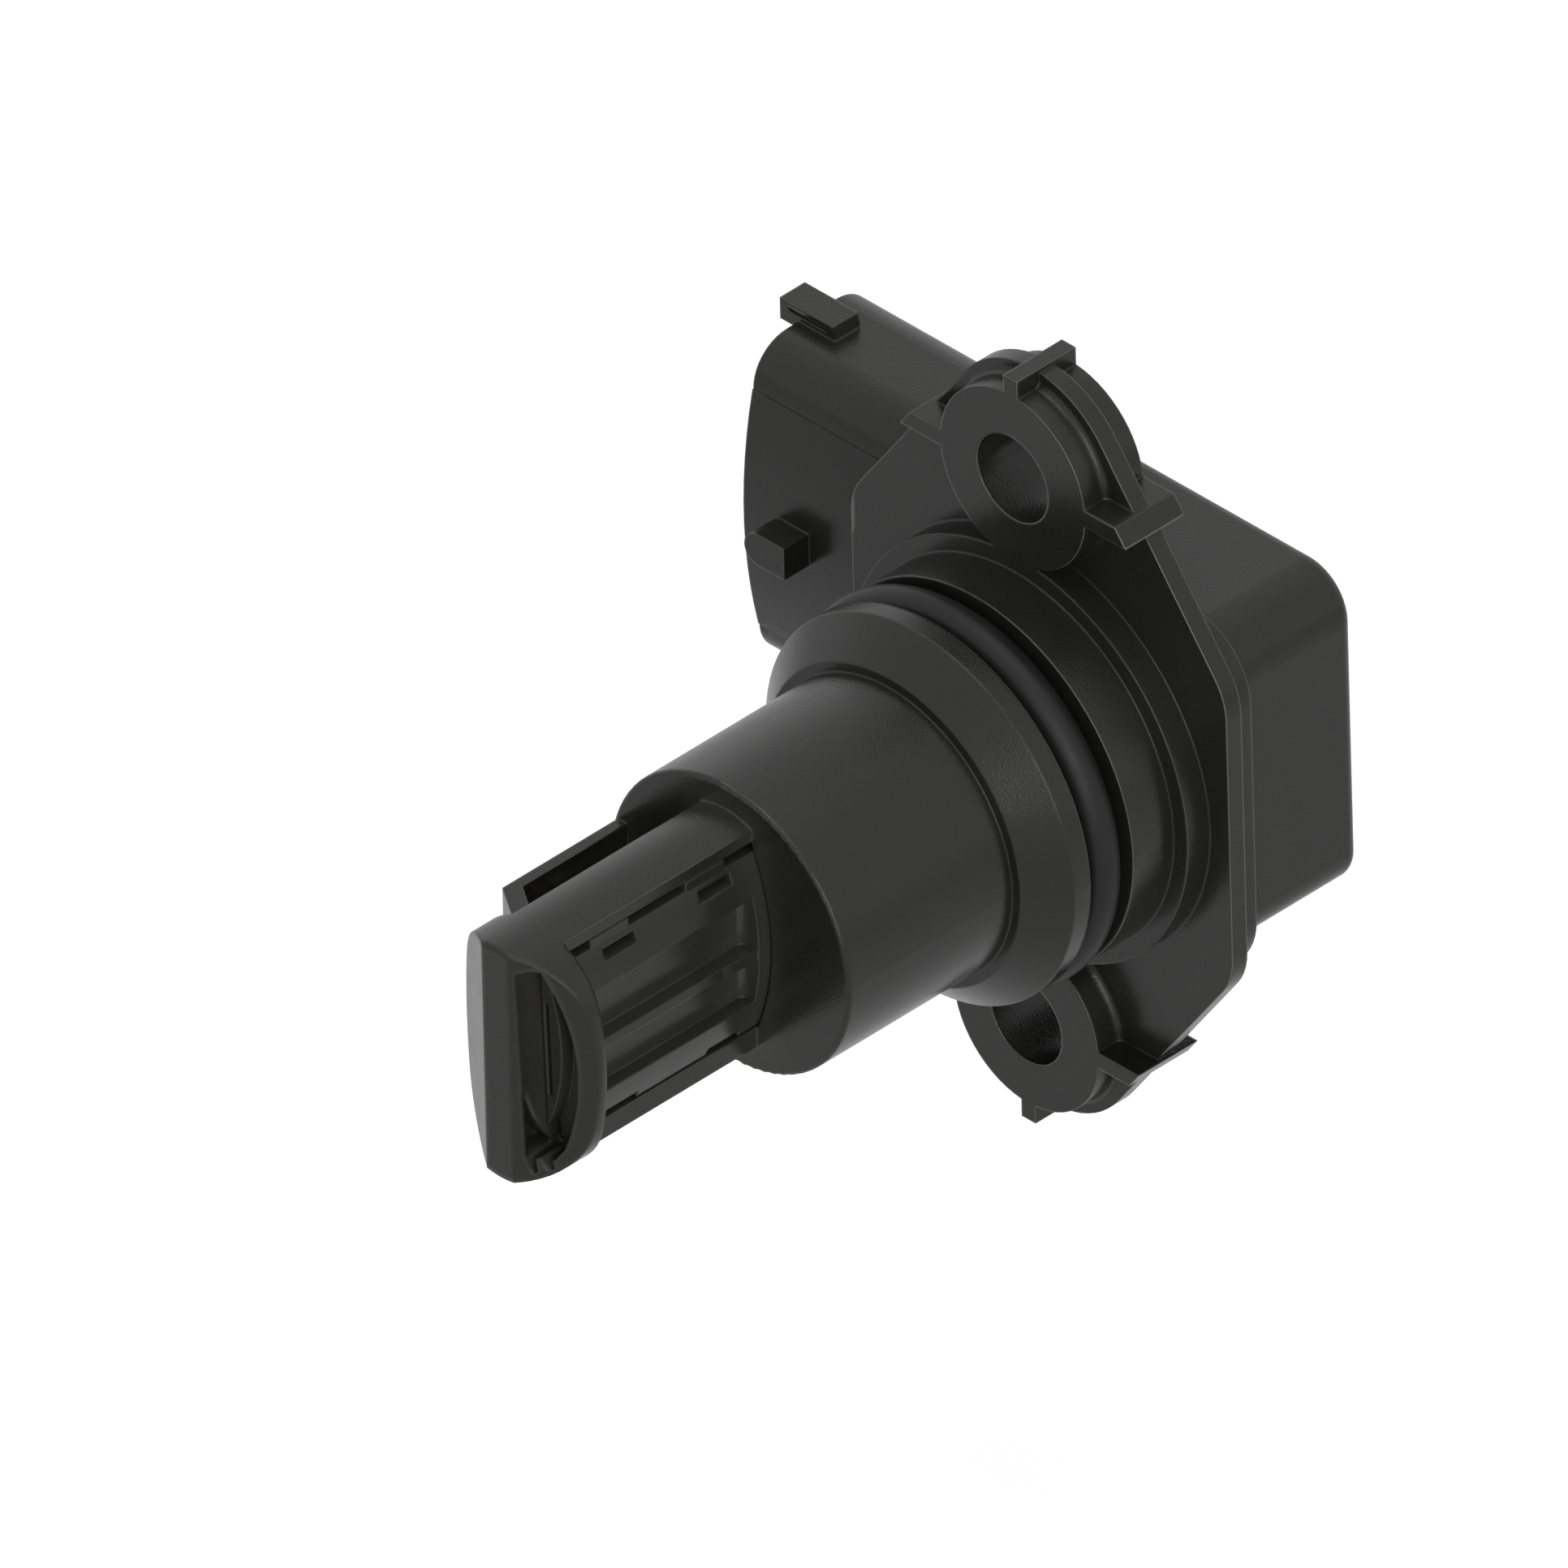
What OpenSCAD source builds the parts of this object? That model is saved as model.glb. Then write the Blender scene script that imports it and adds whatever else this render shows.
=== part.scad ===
/* [Bolt ears] */
// Distance between the centres of the two bolt holes
bolt_spacing = 44; // [42:0.5:50]
// Diameter of each bolt hole
bolt_hole_d = 6.6; // [5.5:0.1:7]
// Diameter of the round boss at each bolt hole
boss_d = 13.5; // [12:0.1:14]
// Depth of each boss, from the mounting face to its back
boss_depth = 5.5; // [5:0.1:7]
// Radius of the thin lobe around each boss
lobe_r = 7.8; // [7.4:0.1:9]
// Thickness of the ribs that cross each lobe
ear_rib_t = 1.3; // [0.8:0.1:2]
// How far each rib stands out past the lobe's edge
ear_rib_proud = 0.3; // [0.1:0.1:0.6]
// Radius of the fillet where a boss meets the lobe
boss_fillet_r = 0.5; // [0.2:0.1:0.8]

/* [Flange] */
// Width of the flange between its two straight sides
flange_w = 35; // [33:0.5:40]
// Thickness of the flange
flange_t = 1.4; // [1.2:0.1:2]
// Step from the mounting face back to the flange's front
flange_setback = 2.1; // [1.5:0.1:2.5]
// Radius of the flange's four side corners
flange_corner_r = 5; // [3:0.5:6]
// Height of the corner arcs' centres above the probe axis
flange_corner_z = 9.7; // [8:0.1:11]
// Width of the base plate behind the flange
base_w = 32.8; // [31:0.2:33]
// Height of the base plate behind the flange
base_h = 28.4; // [27:0.2:29]
// Corner radius of the base plate
base_corner_r = 5.5; // [3:0.5:7]

/* [Spigot] */
// Diameter of the seat ring that lies in the mounting face
seat_ring_d = 31.4; // [30:0.1:32.5]
// Diameter of the spigot's two lands
spigot_d = 28.8; // [28:0.1:29.6]
// Distance from the mounting face to the back of the seal groove
groove_back = 3.8; // [3:0.1:5]
// Width of the seal groove
groove_w = 3.95; // [3.4:0.05:4.5]
// Diameter of the seal groove's floor
groove_floor_d = 23.6; // [23.4:0.1:24]
// Thickness of the seal ring's cord
o_ring_cord_d = 2.8; // [2.6:0.1:3]
// Width of the land in front of the groove
front_land_w = 1.5; // [1:0.1:2]
// Length of the lead-in cone in front of that land
lead_in_len = 2.25; // [1.5:0.05:3]
// Diameter at the small end of the lead-in cone
lead_in_d = 24.4; // [23.6:0.1:25]
// Length of the short step between the cone and the barrel
neck_len = 0.3; // [0.2:0.1:0.6]

/* [Barrel] */
// Diameter of the barrel
barrel_d = 22.3; // [21.5:0.1:23]
// Distance from the mounting face to the barrel's front
barrel_end = 27.1; // [24:0.1:30]
// Radius of the barrel's front edge
barrel_edge_r = 0.3; // [0.1:0.1:1]

/* [Cage] */
// Width of the cage's oval section
cage_w = 12.4; // [11.6:0.1:13]
// Height of the cage's oval section
cage_h = 18.6; // [18:0.1:19.5]
// Radius of the oval's long side arcs
cage_side_r = 24; // [16:0.5:32]
// Width of the arms above and below the insert
arm_w = 4.8; // [4:0.1:5.6]
// Height of the upper arm's inner face above the probe axis
window_top = 7.85; // [7.6:0.05:8]
// Depth of the lower arm's inner face below the probe axis
window_foot = 7.2; // [7.15:0.05:7.6]
// Length of the windows, from the barrel to the end cap
window_len = 17.6; // [16.8:0.1:19]
// Length of the end cap
cap_len = 4; // [3.8:0.1:4.6]
// Width of the upright bar at the front of the end cap
prow_w = 2.5; // [2:0.1:3]
// Angle at which the end cap slopes back on each side
prow_angle = 33.7; // [28:0.1:38]
// Distance from the probe axis to the far edge of the window in the end cap
cap_window_reach = 5; // [4.7:0.05:5.1]
// Radius of that curved edge
cap_window_r = 19.6; // [16:0.2:26]
// Height of the cap window's inner top corner above the probe axis
cap_window_top = 7.75; // [7.4:0.05:7.9]
// Depth of the cap window's foot below the probe axis
cap_window_foot = 7.05; // [6.6:0.05:7.2]
// Width of the web between the cap window and the cage's middle plane
cap_web = 1.65; // [1.5:0.05:1.75]
// Radius of the web's curved front, behind the upright bar
web_front_r = 13.5; // [11:0.5:16]
// Width of the two drain notches below the cap window
notch_w = 0.6; // [0.5:0.05:0.7]

/* [Side guard] */
// Distance from the probe axis to the guard's outer face
guard_reach = 10.25; // [9.8:0.05:10.6]
// Thickness of the guard's outer wall
guard_wall_t = 0.85; // [0.7:0.05:1.2]
// Height of the guard
guard_h = 7; // [5:0.1:9]
// Length of the guard's outer wall in front of the barrel
guard_len = 10.8; // [9:0.1:12]
// Thickness of the guard's slanted front wall
guard_front_t = 1.6; // [1.2:0.1:2]

/* [Insert] */
// Gap all round between the insert and its passage
insert_clear = 0.15; // [0.1:0.05:0.3]
// Width of the passage for the insert through barrel and cage
passage_w = 7.9; // [7.6:0.1:8.6]
// Radius of the passage's curved sides
passage_side_r = 18; // [16:0.5:24]
// Height of the insert's curved sides
insert_side_h = 14; // [13:0.1:14.6]
// Gap between the insert's nose and the end cap
insert_nose_gap = 0.3; // [0.2:0.1:0.6]
// Height of the recess in each side of the insert
recess_h = 8.4; // [7:0.1:9]
// Distance from the probe axis to the recess floor
recess_floor_x = 2.2; // [2.1:0.1:2.6]
// Distance from the barrel's front to the recess's rear wall
recess_rear = 1; // [0.8:0.1:2]
// Distance from the insert's nose to the recess's front wall
recess_front = 1.6; // [1:0.1:2.4]
// Radius of the fillet between the recess's floor and its rear wall
recess_fillet_r = 0.6; // [0.3:0.1:1]
// Thickness of the rib along the middle of the recess
recess_rib_t = 0.8; // [0.5:0.1:1.2]
// Length of the snap lugs
lug_len = 3.6; // [3:0.1:4]
// Distance from the insert's nose to the front lug
lug_front = 2.15; // [1.6:0.05:2.4]
// Distance between the front ends of the two lugs
lug_pitch = 8.9; // [8:0.1:10]
// Height of the slot beside each lug
lug_slot_h = 0.85; // [0.6:0.05:1.4]
// Distance between the front ends of the two slots on the lower side
low_slot_pitch = 9.45; // [8:0.05:10]
// How far the insert's snout stands out into the cap window
snout_len = 1.7; // [1.2:0.1:2.4]
// Distance from the probe axis to the snout's far side
snout_reach = 3.4; // [3.2:0.05:3.6]
// Radius of the snout's curved far side
snout_side_r = 14.5; // [13:0.5:17]
// Width of the pressure slit in the insert's snout
slit_w = 0.35; // [0.3:0.05:0.5]
// Diameter of the pressure channel in the insert
channel_d = 2.6; // [2:0.1:3]

/* [Electronics box] */
// Distance from the probe axis to the box's far side
box_reach = 14.6; // [14:0.1:15.2]
// Height of the box
box_h = 25.2; // [25:0.1:26]
// Distance from the mounting face to the box's back
box_back = 16.9; // [16.5:0.1:19]
// Wall thickness of the box
box_wall_t = 1.7; // [1.4:0.1:2]
// Corner radius at the top of the box
box_top_r = 3.8; // [3:0.1:4.5]
// Corner radius at the bottom of the box
box_bottom_r = 2.8; // [2.4:0.1:4]
// Radius of the box's rear edges
box_rear_r = 1; // [0.6:0.1:1.4]
// Thickness of the rear cover
cover_t = 1.5; // [1.2:0.1:1.8]
// Gap between the rear cover and the box
cover_clear = 0.1; // [0.05:0.05:0.2]
// Thickness of the seal under the rear cover
cover_seal_t = 0.5; // [0.3:0.1:0.8]
// Width of the ledge that carries the cover's seal
cover_ledge_w = 1; // [0.8:0.1:1.4]
// Diameter of the vent hole in the rear cover
vent_d = 1.6; // [1:0.1:2]

/* [Connector] */
// Distance from the probe axis to the connector's mouth
mouth_reach = 32.1; // [28:0.1:36]
// Distance from the mounting face to the connector's centre
shroud_y = 13.1; // [12.6:0.1:13.4]
// Depth of the shroud, from its front side to its back
shroud_d = 13.4; // [12.6:0.1:13.6]
// Height of the shroud
shroud_h = 25.4; // [25:0.1:26]
// Radius of the bulging front and back sides
shroud_side_r = 42; // [36:1:60]
// Corner radius of the shroud
shroud_corner_r = 3.2; // [2.6:0.1:4]
// Wall thickness of the shroud
shroud_wall_t = 1.6; // [1.2:0.1:1.8]
// Depth of the socket
socket_depth = 14.5; // [13:0.1:15]
// Width of each terminal blade
blade_w = 2.8; // [1.5:0.1:3]
// Thickness of each terminal blade
blade_t = 0.8; // [0.6:0.1:0.8]
// Distance between neighbouring terminal blades
blade_pitch = 4.6; // [4:0.1:5]
// Length of the blades in the socket
blade_len = 9; // [7:0.1:10]
// Length of the lock tab on top of the shroud
tab_len = 5.15; // [4.5:0.05:7]
// Width of the lock tab
tab_w = 2.35; // [2:0.05:3]
// Height of the lock tab above the shroud
tab_h = 1.1; // [0.9:0.05:1.6]
// How far the lock tab stands out past the mouth
tab_overhang = 1.75; // [0.6:0.05:2]
// Length of the keying stud on the shroud's front side
stud_len = 3.7; // [3:0.1:5]
// Height of the keying stud
stud_h = 2.5; // [2:0.1:3]
// How far the keying stud stands out from the shroud
stud_proud = 2.35; // [1.8:0.05:2.6]
// Distance from the connector's mouth to the keying stud
stud_inset = 2.4; // [1.6:0.1:4]

/* [Electronics] */
// Thickness of the main circuit board
board_t = 1.6; // [1:0.1:1.6]
// Distance from the mounting face to the board's front side
board_front = 10.4; // [9.8:0.1:10.8]
// Gap between the board and the box's inner wall
board_clear = 0.4; // [0.3:0.1:0.8]
// Width and height of the pressure cell
cell_w = 7; // [5:0.5:8]
// Width of the signal chip
chip_w = 5; // [3:0.5:6]
// Length of each capacitor
capacitor_len = 1.6; // [1:0.1:2]
// Distance between neighbouring capacitors
capacitor_pitch = 4; // [2:0.1:4.4]
// Depth of the block that carries the terminals
carrier_d = 6; // [5:0.1:7]
// Thickness of the slim board in the insert
probe_board_t = 1; // [0.8:0.1:1]
// Diameter of the temperature bead
bead_d = 2.2; // [1.8:0.1:2.4]
// Thickness of the bead's two leads
bead_lead_d = 0.5; // [0.4:0.1:0.6]

/* [Hidden] */

$fn = 64;
// Overlap that lets the pieces of one moulding merge
merge = 0.5;
plastic = [0.19, 0.19, 0.19];
carrier_plastic = [0.21, 0.21, 0.2];
rubber_black = [0.09, 0.09, 0.09];
tin = [0.72, 0.72, 0.7];
board_green = [0.1, 0.32, 0.2];
chip_black = [0.06, 0.06, 0.07];

ear_z = bolt_spacing / 2;
flange_back = flange_setback + flange_t;
groove_front = groove_back + groove_w;
cone_start = groove_front + front_land_w;
cone_end = cone_start + lead_in_len;
barrel_start = cone_end + neck_len;
window_end = barrel_end + window_len;
cap_end = window_end + cap_len;

// Normal of the flange's sloping edge, tangent to a lobe and to a side corner
corner_x = flange_w / 2 - flange_corner_r;
slope_dx = corner_x;
slope_dz = ear_z - flange_corner_z;
slope_len = sqrt(slope_dx * slope_dx + slope_dz * slope_dz);
slope_angle = acos((lobe_r - flange_corner_r) / slope_len) - atan2(slope_dz, slope_dx);

passage_a = passage_w / 2;
insert_a = passage_a - insert_clear;
insert_top = insert_side_h / 2;
nose_y = -(window_end - insert_nose_gap);
// How far the web, the snout and its slit lean towards the axis over each millimetre of height
lean = 0.028;
cap_window_mid_z = -0.4;
cap_window_peak = 0.4;
cap_window_peak_x = 0.75;
cap_window_chamfer = 1.3;
snout_y = nose_y - snout_len;
snout_mid_z = 0.85;
snout_foot = -5.4;
snout_top = 7.4;
snout_gap = 0.1;
nose_plate_t = 0.6;
slit_x = 2;
slit_foot = -2.9;
slit_top = 4.4;
slit_depth = 0.9;
duct_t = 1;
notch_h = 1.3;
notch_step = 0.4;
notch_pitch = 0.95;
cap_floor_t = 0.4;
hollow_w = 1.4;
bar_t = 0.7;
web_inset = 0.4;

floor_y = boss_depth + 0.4;
insert_seal_t = 0.5;
insert_flange_t = 1;
insert_flange_back = floor_y + insert_seal_t + insert_flange_t;
insert_flange_w = passage_w + 3.6;
insert_flange_h = 2 * window_top + 3;
channel_z = 3.8;
rib_z = -0.3;
slot_floor_x = arm_w / 2 - 0.7;
slot_back = 0.95;
slot_run = 0.3;
slot_cover = 0.4;
slot_open = 0.3;
box_left = -14.2;
cover_front = box_back - cover_t;
ledge_y = cover_front - cover_seal_t;
board_back = board_front + board_t;
inner_left = box_left + box_wall_t;
inner_right = box_reach - box_wall_t;
inner_h = box_h - 2 * box_wall_t;
inner_r = 2.2;
post_inset = 2.6;
post_d = 2.8;
post_pin_d = 1.5;
vent_x = 5;
post_z = inner_h / 2 - post_inset;
slim_low = -6;
slim_high = 0.4;
tongue_low = -4.8;
tongue_high = -0.8;
solder_gap = 0.15;

socket_end = -(mouth_reach - socket_depth);
blade_x = -9.2;
carrier_h = 4.26 * blade_pitch;
port_seal_t = 0.8;
tab_drop = 0.6;
tab_slope = 0.2;
tab_groove_inset = 0.8;
tab_groove_depth = 0.25;
bead_x = -(guard_reach - guard_wall_t - 1.8);
bead_y = -(barrel_end + 6.4);
lead_gap = 1.1;

// A flat outline in X and Z, drawn out along Y
module along_y(from, to) {
    translate([0, to, 0]) rotate([90, 0, 0]) linear_extrude(to - from) children();
}

// A flat outline in Y and Z, drawn out along X
module along_x(from, to) {
    translate([from, 0, 0]) rotate([90, 0, 90]) linear_extrude(to - from) children();
}

// A profile of radius and distance in front of the mounting face, turned about the probe axis
module turned() {
    rotate([90, 0, 0]) rotate_extrude($fn = 128) children();
}

// A straight round rod along Y
module rod_y(from, to, d, x = 0, z = 0) {
    translate([x, to, z]) rotate([90, 0, 0]) cylinder(h = to - from, d = d);
}

// Rectangle between two corners, with its own radius at the top and at the bottom
module round_box(left, right, h, top_r, bottom_r) {
    union() {
        translate([left, -h / 2 + bottom_r]) square([right - left, h - bottom_r - top_r]);
        translate([left + top_r, 0]) square([right - left - 2 * top_r, h / 2]);
        translate([left + bottom_r, -h / 2]) square([right - left - 2 * bottom_r, h / 2]);
        for (x = [left + top_r, right - top_r]) translate([x, h / 2 - top_r]) circle(r = top_r);
        for (x = [left + bottom_r, right - bottom_r])
            translate([x, -h / 2 + bottom_r]) circle(r = bottom_r);
    }
}

// Two mirrored arcs of radius r that are 2 a apart at their widest
module lens(a, r) {
    intersection() {
        translate([a - r, 0]) circle(r = r, $fn = 160);
        translate([r - a, 0]) circle(r = r, $fn = 160);
    }
}

// Oval of half width a and half height b: two side arcs and two smaller end arcs
module oval(a, b, side_r) {
    c = side_r - a;
    d = (c * c - pow(side_r - b, 2)) / (2 * (side_r - b));
    end_r = b - d;
    tangent_z = side_r * d / (side_r - end_r);
    union() {
        intersection() {
            lens(a, side_r);
            square([2 * a + 1, 2 * tangent_z], center = true);
        }
        for (s = [-1, 1]) translate([0, s * d]) circle(r = end_r, $fn = 96);
    }
}

// The same on the upper and on the lower side
module both_ends() {
    children();
    mirror([0, 0, 1]) children();
}

// The same on the far and on the near side
module both_sides() {
    children();
    mirror([1, 0, 0]) children();
}

// Outline of the flange: two lobes, four side corners and the slopes tangent to both
module flange_outline() {
    lobe_t = [lobe_r * cos(slope_angle), ear_z + lobe_r * sin(slope_angle)];
    side_t = [corner_x + flange_corner_r * cos(slope_angle),
              flange_corner_z + flange_corner_r * sin(slope_angle)];
    union() {
        polygon([lobe_t, side_t, [flange_w / 2, flange_corner_z], [flange_w / 2, -flange_corner_z],
                 [side_t.x, -side_t.y], [lobe_t.x, -lobe_t.y], [-lobe_t.x, -lobe_t.y],
                 [-side_t.x, -side_t.y], [-flange_w / 2, -flange_corner_z],
                 [-flange_w / 2, flange_corner_z], [-side_t.x, side_t.y], [-lobe_t.x, lobe_t.y]]);
        for (s = [-1, 1]) translate([0, s * ear_z]) circle(r = lobe_r);
        for (s = [-1, 1], t = [-1, 1])
            translate([s * corner_x, t * flange_corner_z]) circle(r = flange_corner_r);
    }
}

// One rib of an ear along X, its end cut along the flange's slope
module side_rib() {
    reach = lobe_r + ear_rib_proud;
    half = ear_rib_t / 2;
    along_y(0, boss_depth)
        polygon([[boss_d / 2 - 1, ear_z - half],
                 [(reach + half * sin(slope_angle)) / cos(slope_angle), ear_z - half],
                 [(reach - half * sin(slope_angle)) / cos(slope_angle), ear_z + half],
                 [boss_d / 2 - 1, ear_z + half]]);
}

// Boss, ribs and the fillet around the boss's foot
module ear() {
    rod_y(0, boss_depth, boss_d, z = ear_z);
    both_sides() side_rib();
    translate([-ear_rib_t / 2, 0, ear_z + boss_d / 2 - 1])
        cube([ear_rib_t, boss_depth, lobe_r + ear_rib_proud - boss_d / 2 + 1]);
    translate([0, flange_setback, ear_z]) rotate([90, 0, 0]) rotate_extrude()
        difference() {
            translate([boss_d / 2 - merge, -merge]) square([boss_fillet_r + merge, boss_fillet_r + merge]);
            translate([boss_d / 2 + boss_fillet_r, boss_fillet_r]) circle(r = boss_fillet_r);
        }
}

module flange() {
    along_y(flange_setback, flange_back) flange_outline();
    along_y(flange_back - merge, boss_depth)
        round_box(-base_w / 2, base_w / 2, base_h, base_corner_r, base_corner_r);
    both_ends() ear();
}

// Seat ring, seal groove, lead-in cone and barrel in one turned profile
module spigot_and_barrel() {
    turned() union() {
        polygon([[0, -boss_depth + merge], [seat_ring_d / 2, -boss_depth + merge], [seat_ring_d / 2, 0],
                 [spigot_d / 2, 0], [spigot_d / 2, groove_back], [groove_floor_d / 2, groove_back],
                 [groove_floor_d / 2, groove_front], [spigot_d / 2, groove_front],
                 [spigot_d / 2, cone_start], [lead_in_d / 2, cone_end],
                 [lead_in_d / 2 - neck_len, barrel_start], [barrel_d / 2, barrel_start],
                 [barrel_d / 2, barrel_end - barrel_edge_r], [barrel_d / 2 - barrel_edge_r, barrel_end],
                 [0, barrel_end]]);
        translate([barrel_d / 2 - barrel_edge_r, barrel_end - barrel_edge_r])
            circle(r = barrel_edge_r, $fn = 32);
    }
}

// Two arms and the wedge-shaped end cap, all on the cage's oval
module cage() {
    slope_back = (cage_w / 2 - prow_w / 2) * tan(prow_angle);
    difference() {
        along_y(-window_end - merge, -barrel_end + merge) intersection() {
            oval(cage_w / 2, cage_h / 2, cage_side_r);
            square([arm_w, cage_h + 1], center = true);
        }
        translate([-arm_w, -window_end, -window_foot])
            cube([2 * arm_w, window_len + 2 * merge, window_top + window_foot]);
    }
    intersection() {
        along_y(-cap_end, -window_end) oval(cage_w / 2, cage_h / 2, cage_side_r);
        translate([0, 0, -cage_h]) linear_extrude(2 * cage_h)
            polygon([[-prow_w / 2, -cap_end], [prow_w / 2, -cap_end], [cage_w / 2, -cap_end + slope_back],
                     [cage_w / 2, 0], [-cage_w / 2, 0], [-cage_w / 2, -cap_end + slope_back]]);
    }
}

// Outline of the D-shaped cap window, smaller by the inset all round
module cap_window_outline(inset = 0) {
    top = cap_window_top;
    foot = inset - cap_window_foot;
    near = cap_web + inset;
    far = cap_window_reach - inset;
    intersection() {
        translate([0, cap_window_mid_z]) lens(far, cap_window_r);
        polygon([[near - lean * top, top - inset], [near + cap_window_peak_x, top + cap_window_peak - inset],
                 [cage_w, top + cap_window_peak - inset], [cage_w, foot + cap_window_chamfer],
                 [far - 0.5 * cap_window_chamfer, foot + cap_window_chamfer],
                 [far - 1.1 * cap_window_chamfer, foot], [near - lean * foot, foot]]);
    }
}

// Cap window with its two slanted drain notches and the hollow behind the bar's foot
module cap_window() {
    foot = -cap_window_foot;
    along_y(-cap_end - 1, -window_end + 0.05) cap_window_outline();
    along_y(-cap_end - 1, -window_end - cap_floor_t) for (k = [0, 1])
        translate([cap_web + 0.4 * notch_w + notch_pitch * k, foot]) polygon([
            [0, merge], [0, -0.3 * notch_h], [0.6 * notch_w, notch_step * k - notch_h],
            [1.2 * notch_w, notch_step * k - 0.8 * notch_h], [notch_w, 0], [notch_w, merge]]);
    along_x(cap_web - hollow_w, cap_web + merge) difference() {
        translate([bar_t - cap_end, foot])
            square([cap_len - bar_t - cap_floor_t, cap_window_foot + 1]);
        translate([web_front_r + web_inset - cap_end, 1]) circle(r = web_front_r, $fn = 160);
    }
}

// Wall and slanted front of the guard beside the cage, without its inner space
module side_guard() {
    out_y = -(barrel_end + guard_len);
    in_x = cage_w / 2 - 1.6;
    slant = tan(prow_angle);
    along = guard_reach - guard_wall_t;
    translate([0, 0, -guard_h / 2]) linear_extrude(guard_h)
        polygon([[-guard_reach, -barrel_end + merge], [-guard_reach, out_y],
                 [-in_x, out_y - (guard_reach - in_x) * slant],
                 [-in_x, out_y - (guard_reach - in_x) * slant + guard_front_t],
                 [-along, out_y - guard_wall_t * slant + guard_front_t], [-along, -barrel_end + merge]]);
}

// What a rounding takes off a square corner whose arc is centred on the origin
module rounding() {
    difference() {
        square(2 * box_rear_r);
        circle(r = box_rear_r, $fn = 32);
    }
}

// What the rear rounding takes off around the box's corner arc of radius r, at the top
module corner_rounding(r) {
    translate([box_reach - r, 0, box_h / 2 - r]) intersection() {
        rotate([90, 0, 0]) rotate_extrude()
            translate([r - box_rear_r, box_rear_r - box_back]) mirror([0, 1]) rounding();
        cube(2 * box_back);
    }
}

// The box with its outline rounded off at the rear
module electronics_box() {
    rear_y = box_back - box_rear_r;
    difference() {
        along_y(boss_depth - merge, box_back)
            round_box(box_left, box_reach, box_h, box_top_r, box_bottom_r);
        translate([box_reach - box_rear_r, rear_y, -box_h]) linear_extrude(2 * box_h) rounding();
        both_ends() along_x(2 * box_left, 2 * box_reach)
            translate([rear_y, box_h / 2 - box_rear_r]) rounding();
        corner_rounding(box_top_r);
        mirror([0, 0, 1]) corner_rounding(box_bottom_r);
    }
}

// Outline of the shroud in Y and Z, smaller by the inset all round
module shroud_outline(inset = 0) {
    half_d = shroud_d / 2 - inset;
    half_h = shroud_h / 2 - inset;
    side_r = shroud_side_r - inset;
    corner_r = max(shroud_corner_r - inset, 0.5);
    corner_z = half_h - corner_r;
    corner_d = sqrt(pow(side_r - corner_r, 2) - corner_z * corner_z) - (side_r - half_d);
    translate([shroud_y, 0]) union() {
        intersection() {
            lens(half_d, side_r);
            square([2 * half_d + 1, 2 * corner_z], center = true);
        }
        square([2 * corner_d, 2 * half_h], center = true);
        for (s = [-1, 1], t = [-1, 1]) translate([s * corner_d, t * corner_z]) circle(r = corner_r);
    }
}

// The lock tab, with the long groove in its side
module lock_tab() {
    start = -(mouth_reach + tab_overhang);
    top = shroud_h / 2;
    side_y = shroud_y - tab_w / 2;
    difference() {
        along_y(side_y, side_y + tab_w)
            polygon([[start, top - tab_drop], [start, top + tab_h],
                     [start + tab_len - tab_slope, top + tab_h], [start + tab_len, top],
                     [start + tab_len, top - tab_drop]]);
        translate([start + tab_groove_inset, side_y - merge, top + 0.35 * tab_h])
            cube([tab_len - 2 * tab_groove_inset, merge + tab_groove_depth, 0.3 * tab_h]);
    }
}

// The keying stud, round at the mouth's end
module key_stud() {
    front = shroud_y - shroud_d / 2 - stud_proud;
    start = -(mouth_reach - stud_inset);
    along_y(front, shroud_y - shroud_d / 2 + merge) union() {
        translate([start + stud_h / 2, 0]) circle(d = stud_h);
        translate([start + stud_h / 2, -stud_h / 2]) square([stud_len - stud_h / 2, stud_h]);
    }
}

module connector() {
    along_x(-mouth_reach, box_left + box_wall_t) shroud_outline();
    lock_tab();
    key_stud();
}

// Section of the passage that the insert fills, with flat top and bottom
module passage_outline() {
    intersection() {
        lens(passage_a, passage_side_r);
        translate([-passage_w, -window_foot]) square([2 * passage_w, window_top + window_foot]);
    }
}

// Places of the four posts that carry the main board
module at_posts() {
    for (x = [blade_x + post_inset, inner_right - post_inset], z = [-post_z, post_z])
        translate([x, 0, z]) children();
}

module board_posts() {
    at_posts() {
        rod_y(floor_y - merge, board_front, post_d);
        rod_y(floor_y - merge, board_back + 0.6, post_pin_d);
    }
}

module carrier_opening() {
    translate([socket_end - 1, shroud_y - carrier_d / 2, -carrier_h / 2])
        cube([inner_left + cover_ledge_w + merge - socket_end + 1, carrier_d, carrier_h]);
}

module housing() {
    color(plastic) union() {
        difference() {
            union() {
                flange();
                spigot_and_barrel();
                cage();
                side_guard();
                electronics_box();
                connector();
            }
            both_ends() rod_y(-1, boss_depth + 1, bolt_hole_d, z = ear_z);
            cap_window();
            along_y(-barrel_end - merge, floor_y + 1) passage_outline();
            along_y(floor_y, ledge_y + 0.1)
                round_box(inner_left + cover_ledge_w, inner_right - cover_ledge_w,
                          inner_h - 2 * cover_ledge_w, inner_r, inner_r);
            along_y(ledge_y, box_back + 1) round_box(inner_left, inner_right, inner_h, inner_r, inner_r);
            along_x(-mouth_reach - 1, socket_end) shroud_outline(shroud_wall_t);
            along_y(floor_y, insert_flange_back)
                oval(insert_flange_w / 2 + insert_clear, insert_flange_h / 2 + insert_clear, passage_side_r);
            carrier_opening();
            for (z = [-lead_gap / 2, lead_gap / 2])
                rod_y(-barrel_end - 1, floor_y + 1, bead_lead_d + 0.1, x = bead_x, z = z);
        }
        board_posts();
    }
}

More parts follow.
